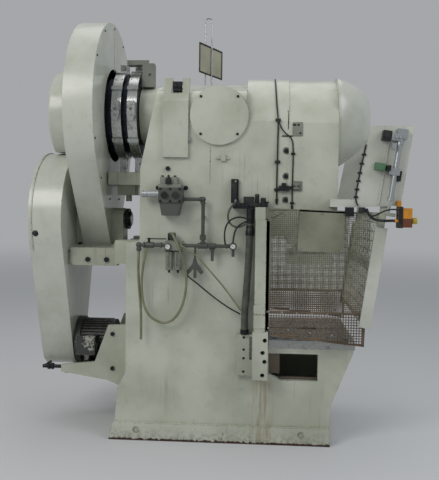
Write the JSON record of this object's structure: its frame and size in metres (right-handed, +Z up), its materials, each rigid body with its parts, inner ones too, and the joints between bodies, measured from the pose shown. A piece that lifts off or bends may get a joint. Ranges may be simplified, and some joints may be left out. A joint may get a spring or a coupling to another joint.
{
  "type": "mechanical stamping press",
  "caption": "Gap-frame eccentric stamping press with gear train, band brakes, guarded flywheel and motor, pneumatic clutch piping, perforated side guards and a sliding front guard.",
  "frame": {"origin": "on the floor, at the centre of the four foundation holes", "axes": "+X towards the front of the press, where the ram and the table are; +Y to the far side; +Z up"},
  "size_m": [2.378, 1.2498, 2.741],
  "materials": {
    "body_paint": "semi-gloss enamel, worn",
    "mesh_paint": "enamel on perforated sheet, dull",
    "black_paint": "dull black enamel, peeling",
    "steel": "bare, oily",
    "dark_steel": "oxidised, oily",
    "cast_iron": "dark, oily",
    "grey_casting": "grey enamel on castings",
    "bronze": "machined",
    "chrome": "bright",
    "aluminium": "satin",
    "black_pipe": "grey paint over steel pipe",
    "sign_metal": "weathered",
    "rubber": "dull",
    "olive_hose": "dull",
    "grey_conduit": "ribbed",
    "orange_plastic": "satin",
    "yellow_plastic": "gloss",
    "black_plastic": "satin"
  },
  "bodies": {
    "base": {"frame": "body_paint", "guide_housing": "body_paint", "crank_hood": "body_paint", "side_cover": "body_paint", "cover_screws": "dark_steel", "cap_cover": "body_paint", "bearing_bushes": "bronze", "ram_gibs": "bronze", "rear_brake_band": "steel", "front_brake_band": "steel", "brake_anchor": "body_paint", "countershaft_bracket": "body_paint", "bearing_blocks": "body_paint", "v_belts": "rubber", "motor_housing": "black_paint", "motor_bracket": "body_paint", "tension_rod": "dark_steel", "gear_guard": "body_paint", "clutch_cover": "body_paint", "belt_guard": "body_paint", "cam_switch": "grey_casting", "sign_post": "steel", "sign_plate": "sign_metal", "bolster_plate": "steel", "hinge_blocks": "body_paint", "far_side_guard": "mesh_paint", "guard_channels": "body_paint", "guard_cylinder": "aluminium", "button_box": "orange_plastic", "double_valve": "grey_casting", "silencer": "aluminium", "air_pipes": "black_pipe", "filter_regulator": "grey_casting", "pressure_gauge": "black_pipe", "switch_block": "black_plastic", "drain_hose": "olive_hose", "loop_hose": "olive_hose", "thin_hose": "olive_hose", "control_cable": "rubber", "main_conduit": "grey_conduit", "head_cable": "rubber"},
    "crank": {"eccentric_shaft": "steel", "clutch_body": "cast_iron", "brake_drum": "cast_iron"},
    "rod": {"connecting_rod": "cast_iron", "adjusting_screw": "steel"},
    "slide": {"ram": "body_paint"},
    "gear": {"drive_gear": "cast_iron"},
    "counter": {"countershaft": "steel", "pinion": "dark_steel", "flywheel": "cast_iron", "sprocket": "dark_steel"},
    "motor": {"motor_pulley": "cast_iron"},
    "door": {"guard_post": "body_paint", "side_guard": "mesh_paint"},
    "guard": {"front_guard": "body_paint", "guard_rod": "chrome"},
    "button": {"stop_button": "yellow_plastic"},
    "lever": {"valve_lever": "dark_steel"}
  },
  "joints": [
    {"name": "crank_spin", "type": "hinge", "parent": "base", "child": "crank", "pos_m": [0, 0, 2.08], "axis": [1, 0, 0], "continuous": true},
    {"name": "rod_swing", "type": "hinge", "parent": "crank", "child": "rod", "pos_m": [0.563, 0, 2.115], "axis": [1, 0, 0], "continuous": true},
    {"name": "ram_slide", "type": "slide", "parent": "base", "child": "slide", "axis": [0, 0, 1], "range_m": [-0.07, 0]},
    {"name": "gear_spin", "type": "hinge", "parent": "base", "child": "gear", "pos_m": [0, 0, 2.08], "axis": [1, 0, 0], "continuous": true},
    {"name": "counter_spin", "type": "hinge", "parent": "base", "child": "counter", "pos_m": [0, 0, 1.38], "axis": [1, 0, 0], "continuous": true},
    {"name": "motor_spin", "type": "hinge", "parent": "base", "child": "motor", "pos_m": [0, 0, 0.537], "axis": [1, 0, 0], "continuous": true},
    {"name": "door_hinge", "type": "hinge", "parent": "base", "child": "door", "pos_m": [0.251, -0.54, 1], "axis": [0, 0, 1], "range_deg": [-95, 0]},
    {"name": "guard_slide", "type": "slide", "parent": "base", "child": "guard", "axis": [0.1392, 0, 0.9903], "range_m": [-0.33, 0]},
    {"name": "button_press", "type": "slide", "parent": "base", "child": "button", "axis": [1, 0, 0], "range_m": [-0.006, 0], "stiffness_N_per_m": 600},
    {"name": "lever_turn", "type": "hinge", "parent": "base", "child": "lever", "pos_m": [-0.436, -0.502, 1.26], "axis": [0, 0, 1], "range_deg": [-90, 0]}
  ],
  "couplings": [
    {"joint": "rod_swing", "follows": "crank_spin", "ratio": -1},
    {"joint": "counter_spin", "follows": "gear_spin", "ratio": -4.3846},
    {"joint": "motor_spin", "follows": "gear_spin", "ratio": -17.758}
  ]
}
